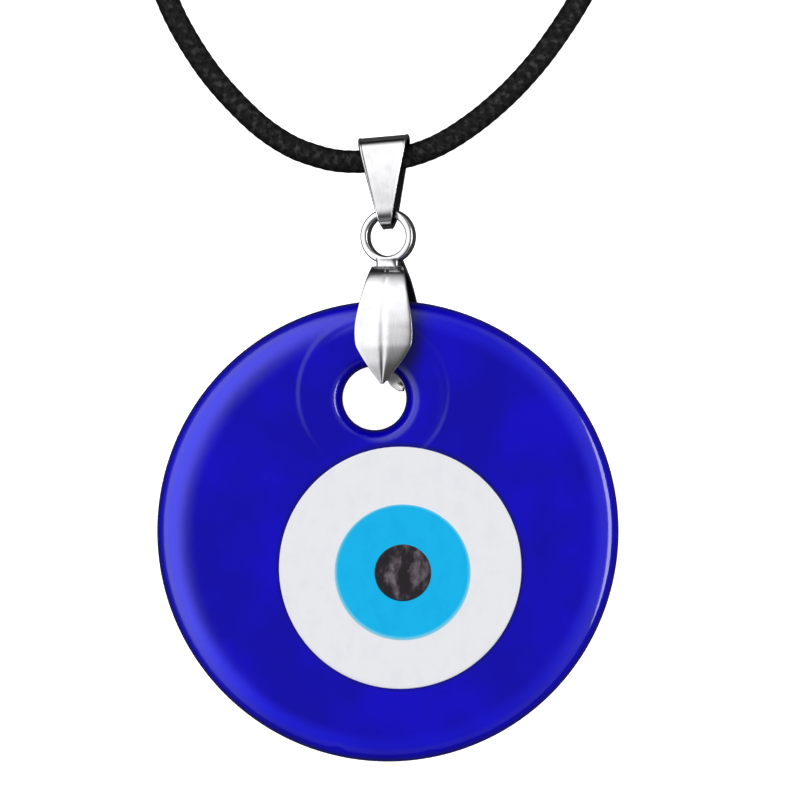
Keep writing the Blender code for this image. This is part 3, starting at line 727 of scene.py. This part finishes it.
def leaf(name, stations, sheet, groove, paint):
    """A bent leaf: a flat section carried through the stations from tip to collar.

    Across the section at u from -1 to 1, the sheet's middle rises by 0.6 ridge (1 - |u|), less a narrow
    groove along the spine. The section is rolled by the yaw and pitched by the slope of its edges' line.
    The value inner, which plate() paints as shade, is 1 on the side that faces the glass, but 0 on the back
    leaf's tip.
    """
    line = curve_through(stations, 0.12)
    x, y, top, half, yaw, ridge = (line[:, i, None] for i in range(6))
    slope = np.arctan2(np.gradient(line[:, 2]), np.gradient(line[:, 1]))[:, None]
    u, v = ribbon(110, 40, 10)
    soft = np.sqrt(u**2 + 0.03**2)
    spine = groove * np.exp(-((u / 0.11) ** 2)) * np.clip(ridge / 0.2, 0, 1)
    camber = 0.6 * ridge * (1 - soft) - spine
    lift = camber - sheet / 2 + v * sheet / 2
    across = np.stack((np.cos(yaw), 0 * yaw, np.sin(yaw)), axis=-1)
    up = unit(np.stack((-np.sin(yaw), -np.sin(slope), np.cos(yaw) * np.cos(slope)), axis=-1))
    middle = np.stack((x, y, top), axis=-1)
    grid = middle + across * (half * u)[..., None] + up * lift[..., None]
    # painted shade: inner marks the faces towards the glass for plate() to darken
    inner = (v > 0) * np.clip((y - 6.6) / 0.8, 0, 1) if groove == 0 else (v < 0) + 0 * y
    return skin(name, grid, paint, "clip", ("pinch_clip",), values={"inner": inner})


def turned_ring(name, centre, yaw, inner, outer, depth, square, paint, body, stands_for):
    """A band turned round its own axis, with a pill-shaped section, then rolled by yaw about Y."""
    angle = np.arange(128)[:, None] / 128 * TURN
    u, v = pill(40, square)
    radius = (outer + inner) / 2 + u * (outer - inner) / 2
    x, y, z = radius * np.cos(angle), radius * np.sin(angle), v * depth / 2 + 0 * angle
    grid = np.stack(
        (
            centre[0] + x * math.cos(yaw) - z * math.sin(yaw), centre[1] + y,
            centre[2] + x * math.sin(yaw) + z * math.cos(yaw),
        ),
        axis=-1,
    )
    return skin(name, grid, paint, body, stands_for, ends="joined")


def profile_along(name, base, direction, profile, paint, body, stands_for=(), places=48):
    """A profile of (distance along, radius) carried round a straight axis from base, in direction."""
    direction = unit(np.asarray(direction, float))
    side = unit(np.cross(direction, (0.0, 0.0, 1.0) if abs(direction[2]) < 0.9 else (0.0, 1.0, 0.0)))
    other = np.cross(direction, side)
    run, radius = (np.asarray(column, float)[:, None, None] for column in zip(*profile))
    angle = (np.arange(places) / places * TURN)[None, :, None]
    grid = np.asarray(base) + direction * run + radius * (np.cos(angle) * side + np.sin(angle) * other)
    return skin(name, grid, paint, body, stands_for)


def peg(name, x, y, low, high, low_radius, high_radius, paint):
    """A post of the clip, from one radius to the other, with rounded ends."""
    length = high - low
    profile = (
        (0.0, low_radius * 0.6), (0.06, low_radius * 0.9), (0.16, low_radius),
        (length - 0.16, high_radius), (length - 0.05, high_radius * 0.9), (length, high_radius * 0.6),
    )
    return profile_along(name, (x, y, low), (0, 0, 1), profile, paint, "clip", ("pinch_clip",))


def collar(paint):
    """The neck where both leaves meet the ring: a pill-shaped section, narrowest halfway up."""
    share = np.linspace(0, 1, 12)[:, None]
    u, v = pill(48, 0.45)
    half_wide = 1.12 - 0.12 * np.sin(np.pi * share)
    half_deep = 0.86 - 0.1 * np.sin(np.pi * share)
    x, z = half_wide * u, half_deep * v
    y = RING_CENTRE[1] - RING_OUTER + 0.06 - 0.48 + 0.96 * share + 0 * u
    grid = np.stack(
        (
            RING_CENTRE[0] + 0.04 + x * math.cos(RING_YAW) - z * math.sin(RING_YAW), y,
            RING_CENTRE[2] + x * math.sin(RING_YAW) + z * math.cos(RING_YAW),
        ),
        axis=-1,
    )
    return skin("clip_collar", grid, paint, "clip", ("pinch_clip",))


def strap_sheet(paint):
    """The strap: a flat section carried round its closed line, widest at the fold over the cord.

    Half its width grows evenly from the ring to the fold, and it is pinched a little more where it rounds the
    ring. The way across is turned by the strap's turn about Z and rolled by its yaw, which fades out on the
    back, where the strap lies flat. A fine lip runs along both edges of its outer side.
    """
    line = curve_through([(0.0, y, z) for y, z in STRAP_LINE], 0.1, closed=True)
    y, z = line[:, 1, None], line[:, 2, None]
    travel = along(line, closed=True)
    outward = np.column_stack((np.zeros(len(line)), -travel[:, 2], travel[:, 1]))
    share = np.clip((y - STRAP_FOOT) / (STRAP_FOLD - STRAP_FOOT), 0, 1)
    half_wide = STRAP_NARROW + (STRAP_WIDE - STRAP_NARROW) * share
    half_wide -= 0.12 * np.exp(-(((y - STRAP_FOOT) / 0.5) ** 2))
    back_shift = (1 - z / 4.1) * 0.55 - 0.05
    flat = np.clip((z - 0.24) / 0.96, 0, 1)
    cos_turn, sin_turn = math.cos(STRAP_TURN), math.sin(STRAP_TURN)
    across = np.stack(
        (
            cos_turn * math.cos(STRAP_YAW) + 0 * y, sin_turn * math.cos(STRAP_YAW) + 0 * y,
            math.sin(STRAP_YAW) * flat,
        ),
        axis=-1,
    )
    u, v = ribbon(70, 40, 12)
    middle = np.stack((-0.2 - 0.4 * share + back_shift, y, z), axis=-1)
    lip = 0.05 * np.exp(-(((np.abs(u) - 0.94) / 0.045) ** 2)) * (v > 0)
    grid = middle + across * (half_wide * u)[..., None]
    grid = grid + outward[:, None] * ((v * STRAP_SHEET / 2 + lip) + 0 * y)[..., None]
    # painted shade: inner marks the strap's inner side for plate() to darken
    inner = (v < 0) + 0 * y
    return skin(
        "strap_sheet", grid, paint, "strap", ("strap_bail",), ends="joined",
        values={"inner": inner},
    )


# ---------------------------------------------------------------- cord


def winding(side, layer):
    """Knots of one strand's coil, from where it enters at its own side to its inner end over the coil.

    It lies in the outer column for a turn, steps to the inner one and stays there to the near side. Then it
    leaves inwards while it rises. side is -1 for the left strand, which winds clockwise, and 1 for the right.
    """
    entry, leave = 187.0, 175.0 - 720.0
    turned = entry - np.linspace(entry, leave, 60)
    outer, inner = COIL_COLUMNS
    level = COIL_LAYERS[layer]
    radii = (15.75, 14.4, outer, outer, inner, inner, 8.2, 7.0)
    radius = np.interp(turned, (0, 14, 36, 325, 395, 630, 682, 732), radii)
    heights = (level * 0.7 + 0.45, level, level, level + 0.25, 5.3)
    height = np.interp(turned, (0, 40, 640, 670, 732), heights)
    angle = np.radians(entry - turned)
    x = COIL_CENTRE[0] - side * radius * np.cos(angle)
    return np.column_stack((x, COIL_CENTRE[1] + radius * np.sin(angle), height))


def cord_path():
    """The whole cord in one line: left end, left coil outwards, neck, right coil inwards, right end."""
    offset = np.array((*COIL_CENTRE, 0.0))
    left_end = np.array(LEFT_END) + offset
    right_end = np.array(LEFT_END) * (-1, 1, 1) + offset
    knots = np.vstack((
        left_end[::-1], winding(-1, 0)[:0:-1], np.array(CORD_ROUTE), winding(1, 1)[1:], right_end,
    ))
    return curve_through(knots, 0.2)


def braid(path, look):
    """Radii round the cord for a plain braid of two sets of strands.

    a = 2 (angle + k s) and b = 2 (angle - k s), where s is the distance along. A strand's height is |cos a|
    or |cos b|, whichever set is on top in that crossing, and it dips by a third towards the crossing's edges.
    """
    run = np.concatenate(([0.0], np.cumsum(np.linalg.norm(np.diff(path, axis=0), axis=1))))[:, None]
    angle = np.arange(CORD_PLACES)[None, :] / CORD_PLACES * TURN
    turn_rate = np.pi / (2 * look.pitch / MM)
    a, b = 2 * (angle + turn_rate * run), 2 * (angle - turn_rate * run)
    over = (np.floor(a / np.pi + 0.5) + np.floor(b / np.pi + 0.5)) % 2 == 0
    up, down = np.abs(np.cos(a)), np.abs(np.cos(b))
    height = np.where(over, up * (0.66 + 0.34 * down**2), down * (0.66 + 0.34 * up**2)) ** 0.7
    return look.diameter / MM / 2 - look.relief / MM * (1 - height), height


# ---------------------------------------------------------------- operators


class NECKLACE_OT_camera(Operator):
    """Put the camera straight above the pendant"""

    bl_idname = "necklace.camera"
    bl_label = "Camera"

    def execute(self, context):
        look = context.scene.necklace_stage
        camera = bpy.data.cameras.new("camera")
        camera.lens = look.lens
        camera.sensor_width = SENSOR
        holder = bpy.data.objects.new("camera", camera)
        context.scene.collection.objects.link(holder)
        holder.location = np.array(CAMERA_AIM) * MM + (0, 0, look.side * camera.lens / SENSOR)
        camera.clip_start, camera.clip_end = 0.01, 10.0
        context.scene.camera = holder
        return {"FINISHED"}


class NECKLACE_OT_cord(Operator):
    """Lay the braided cord at its real length through the bail and the coil"""

    bl_idname = "necklace.cord"
    bl_label = "Braided cord"

    def execute(self, context):
        look = context.scene.necklace_cord
        path = cord_path()
        radius, relief = braid(path, look)
        angle = np.arange(CORD_PLACES) / CORD_PLACES * TURN
        # painted light: top marks the cord's upper side, which waxed_braid paints paler
        top = np.clip(np.sin(angle), 0, 1) ** 1.5 + 0 * relief
        cord = skin(
            "braided_cord", tube_grid(path, radius, CORD_PLACES), waxed_braid(look), "cord",
            ("neck_cord", "cord_coil", "cord_end_left", "cord_end_right"),
            values={"relief": relief, "top": top},
        )
        return {"FINISHED"}


class NECKLACE_OT_glass(Operator):
    """Make the glass disc and the white, iris and pupil of its eye"""

    bl_idname = "necklace.glass"
    bl_label = "Glass eye"

    def execute(self, context):
        look = context.scene.necklace_glass
        glass_disc(ground_glass(look))
        for word, centre, radius, (shown, top, dome, edge, floor), finish in EYE_LAYERS:
            slot = word + "_glass"
            paint = layer_glass(slot, getattr(look, word), centre, radius, look.wave, *finish)
            lens(word + "_layer", centre, shown, FACE_HEIGHT + top, dome, edge, floor, paint, slot, (slot,))
        return {"FINISHED"}


class NECKLACE_OT_clip(Operator):
    """Bend the pinch clip: two leaves, their pegs, the collar and the ring"""

    bl_idname = "necklace.clip"
    bl_label = "Pinch clip"

    def execute(self, context):
        metal = plate("clip_plate", context.scene.necklace_metal, inner=True)
        leaf("clip_front_leaf", FRONT_LEAF, SHEET, 0.043, metal)
        leaf("clip_back_leaf", BACK_LEAF, SHEET - 0.02, 0.0, metal)
        collar(metal)
        turned_ring(
            "clip_ring", RING_CENTRE, RING_YAW, RING_INNER, RING_OUTER, RING_DEPTH, 0.6, metal, "clip",
            ("pinch_clip",),
        )
        for numbers in PEGS:
            peg(*numbers, metal)
        return {"FINISHED"}


class NECKLACE_OT_strap(Operator):
    """Fold the tapered strap over the cord and through the ring"""

    bl_idname = "necklace.strap"
    bl_label = "Strap bail"

    def execute(self, context):
        strap_sheet(plate("bail_plate", context.scene.necklace_metal, brushed=0.2, inner=True))
        return {"FINISHED"}


class NECKLACE_OT_tie(Operator):
    """Bend the paper-covered wire round the coil"""

    bl_idname = "necklace.tie"
    bl_label = "Coil tie"

    def execute(self, context):
        box = np.array(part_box("coil_tie")) / MM
        middle = box.mean(axis=0)
        _, half_wide, half_high = (box[1] - box[0]) / 2 - TIE_RADIUS
        u, v = pill(120, 0.5)
        path = np.column_stack((half_wide * u, half_high * v))
        wire_loop(
            "coil_tie_wire", path, TIE_RADIUS, middle, ((0, 1, 0), (0, 0, 1)), tie_paper("tie_wire"), "cord",
            ("coil_tie",),
        )
        return {"FINISHED"}


class NECKLACE_OT_caps(Operator):
    """Turn the two end caps with their eyes, and the jump rings in them"""

    bl_idname = "necklace.caps"
    bl_label = "Caps and rings"

    def execute(self, context):
        silver = plate("cap_plate", context.scene.necklace_metal)
        for side, word in ((-1, "left"), (1, "right")):
            cap = "cap_" + word
            knots = np.array(LEFT_END[-2:]) * (-side, 1, 1) + (*COIL_CENTRE, 0)
            heading = math.atan2(*(knots[1] - knots[0])[1::-1])
            forward = np.array((math.cos(heading), math.sin(heading), 0))
            closed_end = knots[1] + forward * (CAP_LENGTH - CAP_BORE_DEPTH + CORD_GAP)
            cup = cap + "_cup"
            profile_along(cup, closed_end, -forward, CAP_PROFILE, silver, "cord", (cap,))
            eye = closed_end + forward * (EYE_RADIUS - 0.12)
            round_ring(cap + "_eye", eye, heading, ROLL, EYE_RADIUS, EYE_WIRE, silver, "cord", cap)
            middle = np.array(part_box("ring_" + word)).mean(axis=0) / MM
            round_ring(
                "jump_ring_" + word, middle, heading, -ROLL, JUMP_RADIUS, JUMP_WIRE, silver, word + "_ring",
                "ring_" + word,
            )
        return {"FINISHED"}


class NECKLACE_OT_chain(Operator):
    """Link up the extender chain and hang the bead on its end"""

    bl_idname = "necklace.chain"
    bl_label = "Extender chain"

    def execute(self, context):
        silver = plate("chain_plate", context.scene.necklace_metal)
        knots = np.array(LEFT_END[-2:]) * (-1, 1, 1)
        heading = math.atan2(*(knots[1] - knots[0])[1::-1])
        roll = ROLL
        for number, turn in enumerate(LINK_TURNS, 1):
            name = f"link_{number:02d}"
            middle = np.array(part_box(name)).mean(axis=0) / MM
            ring_link(
                "chain_" + name, middle, heading, roll, LINK_LENGTH / 2, LINK_WIDTH / 2, LINK_WIRE, silver,
                name, name,
            )
            roll = -roll
            heading += math.radians(turn)
        forward = np.array((math.cos(heading), math.sin(heading), 0))
        eye = middle + forward * (LINK_PITCH - LINK_LENGTH / 2 + LINK_WIRE + EYE_RADIUS)
        round_ring("drop_eye", eye, heading, roll, EYE_RADIUS, EYE_WIRE, silver, "drop", "chain_drop")
        angle = np.linspace(0.03, np.pi - 0.03, 40)
        ball = np.column_stack((DROP_RADIUS * (1 - np.cos(angle)), DROP_RADIUS * np.sin(angle)))
        profile_along(
            "drop_bead", eye + forward * (EYE_RADIUS - 0.25), forward, ball, silver, "drop",
            ("chain_drop",), places=64,
        )
        return {"FINISHED"}


class NECKLACE_OT_clasp(Operator):
    """Finish the lobster clasp's body, lever, pin and spring"""

    bl_idname = "necklace.clasp"
    bl_label = "Lobster clasp"

    def execute(self, context):
        look = context.scene.necklace_metal
        silver = plate("silver_plate", look)
        steel = plate("spring_steel", look, brushed=0.8, tone=0.7)
        for name, paint in (
            ("clasp_body", silver), ("clasp_lever", silver), ("clasp_pin", steel), ("clasp_spring", steel),
        ):
            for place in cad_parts[name].material_slots:
                place.material = paint
        return {"FINISHED"}


class NECKLACE_OT_stage(Operator):
    """Set the floor, the light tent and the soft light from above"""

    bl_idname = "necklace.stage"
    bl_label = "Floor and lights"

    def execute(self, context):
        look = context.scene.necklace_stage
        mesh = bpy.data.meshes.new("floor")
        corners = np.array(((-1, -1), (1, -1), (1, 1), (-1, 1))) * FLOOR_HALF_SIDE
        mesh.from_pydata([(x, y, -FLOOR_DROP * MM) for x, y in corners], [], [(0, 1, 2, 3)])
        floor = bpy.data.objects.new("floor", mesh)
        context.scene.collection.objects.link(floor)
        # white to the camera, dim in reflections, so that the metal keeps its dark edges
        paint = Paint("floor_white", Roughness=0.9, Specular_IOR_Level=0.0, Emission_Strength=0.95)
        direct = paint.node("ShaderNodeLightPath", output="Is Camera Ray")
        base = paint.mix(direct, (0.07, 0.07, 0.07), tuple(look.floor))
        glow = paint.mix(direct, (0.0, 0.0, 0.0), (1.0, 1.0, 1.0))
        mesh.materials.append(paint.wear(Base_Color=base, Emission_Color=glow))
        light_tent(context.scene, look)
        fill = bpy.data.lights.new("fill", "SUN")
        fill.energy = look.fill
        fill.angle = math.radians(100)
        holder = bpy.data.objects.new("fill", fill)
        holder.visible_glossy = False
        context.scene.collection.objects.link(holder)
        context.scene.view_settings.view_transform = "Standard"
        return {"FINISHED"}


def light_tent(scene, look):
    """The world: a light tent, bright on the left and dim elsewhere.

    x, y and z are the parts of the direction looked in. The tone falls behind the bail, past the disc's foot
    and near the horizon, and there is one narrow bright strip low on the right.
    """
    world = bpy.data.worlds.new("light_tent")
    scene.world = world
    nodes = Nodes(world)
    way = nodes.node("ShaderNodeTexCoord", output="Generated")
    x, y, z = (nodes.node("ShaderNodeSeparateXYZ", None, {0: way}, output=axis) for axis in "XYZ")
    left = y * 0.4 - x * 0.95
    tone = 0.1 + left.step(0.03, 0.5) * 0.9
    tone = tone + x.step(0.3, 0.7) * 0.18 + z.step(0.7, 0.45) * 0.2
    tone = tone * (1 - y.step(0.78, 1.0) * 0.9) * (1 - y.step(-0.25, -0.7) * 0.5)
    tone = tone * (1 - z.step(0.27, 0.14) * 0.85)
    strip = x.step(0.84, 0.88) * z.step(0.2, 0.25) * z.step(0.52, 0.46)
    tone = tone + strip * look.strip
    lit = nodes.node("ShaderNodeBackground", None, {"Color": (1.0, 1.0, 1.0), "Strength": tone * look.dome})
    seen = nodes.node("ShaderNodeBackground", None, {"Color": (1.0, 1.0, 1.0), "Strength": 1.0})
    direct = nodes.node("ShaderNodeLightPath", output="Is Camera Ray")
    mixed = nodes.node("ShaderNodeMixShader", None, {0: direct, 1: lit, 2: seen})
    nodes.feed(nodes.tree.nodes["World Output"].inputs[0], mixed)


# ---------------------------------------------------------------- panel and main


class NECKLACE_PT_panel(Panel):
    """Lists the pieces of the necklace and their settings"""

    bl_idname = "NECKLACE_PT_panel"
    bl_label = "Evil Eye Necklace"
    bl_space_type = "VIEW_3D"
    bl_region_type = "UI"
    bl_category = "Necklace"

    def draw(self, context):
        for operator in OPERATORS:
            self.layout.operator(operator.bl_idname)
        for group, _ in GROUPS:
            settings = getattr(context.scene, group)
            for key in type(settings).__annotations__:
                self.layout.prop(settings, key)


GROUPS = (
    ("necklace_glass", NecklaceGlass), ("necklace_metal", NecklaceMetal), ("necklace_cord", NecklaceCord),
    ("necklace_stage", NecklaceStage),
)
OPERATORS = (
    NECKLACE_OT_camera, NECKLACE_OT_tie, NECKLACE_OT_caps, NECKLACE_OT_chain, NECKLACE_OT_clasp,
    NECKLACE_OT_cord, NECKLACE_OT_glass, NECKLACE_OT_clip, NECKLACE_OT_strap, NECKLACE_OT_stage,
)


def register():
    for name, group in GROUPS:
        bpy.utils.register_class(group)
        setattr(bpy.types.Scene, name, PointerProperty(type=group))
    for made in (*OPERATORS, NECKLACE_PT_panel):
        bpy.utils.register_class(made)


def unregister():
    for made in reversed((*OPERATORS, NECKLACE_PT_panel)):
        bpy.utils.unregister_class(made)
    for name, group in reversed(GROUPS):
        delattr(bpy.types.Scene, name)
        bpy.utils.unregister_class(group)


def main():
    register()
    steps = bpy.ops.necklace
    for step in (
        steps.camera, steps.tie, steps.caps, steps.chain, steps.clasp, steps.cord, steps.glass, steps.clip,
        steps.strap, steps.stage,
    ):
        step()


if __name__ == "__main__":
    main()
